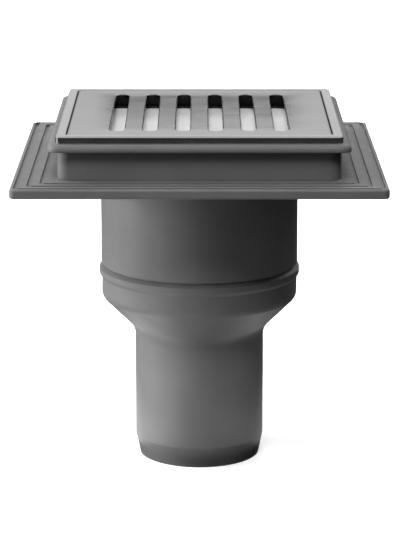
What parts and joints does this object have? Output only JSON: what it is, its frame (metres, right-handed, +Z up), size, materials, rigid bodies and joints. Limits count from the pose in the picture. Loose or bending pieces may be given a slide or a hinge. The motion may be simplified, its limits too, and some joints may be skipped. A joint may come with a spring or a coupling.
{
  "type": "floor drain",
  "caption": "Square floor drain with an upright round outlet, a grooved flange, a height-adjustable tray with a slotted steel grate over a strainer, and a bell water trap inside.",
  "frame": {"origin": "centre of the outlet spigot's lower end", "axes": "+Z up out of the floor along the outlet's axis, +X to the right and -Y towards the viewer of the picture, along the sides of the square flange"},
  "size_m": [0.1372, 0.1372, 0.136],
  "materials": {
    "body_plastic": "moulded polypropylene, grey, faintly satin",
    "trap_plastic": "moulded polypropylene, pale grey",
    "seal_rubber": "black rubber, matt",
    "stainless": "pressed stainless sheet, bright"
  },
  "bodies": {
    "drain_body": {"outlet_pot": "body_plastic", "flange_collar": "body_plastic", "trap_bell": "trap_plastic"},
    "seal_ring": {"neck_seal": "seal_rubber"},
    "tray_set": {"extension_tray": "body_plastic", "strainer": "trap_plastic", "grate_frame": "stainless", "grate": "stainless"}
  },
  "joints": [
    {"name": "tray_lift", "type": "slide", "parent": "drain_body", "child": "seal_ring", "axis": [0, 0, 1], "range_m": [0, 0.025]},
    {"name": "tray_turn", "type": "hinge", "parent": "seal_ring", "child": "tray_set", "pos_m": [0, 0, 0.1], "axis": [0, 0, 1], "continuous": true}
  ]
}
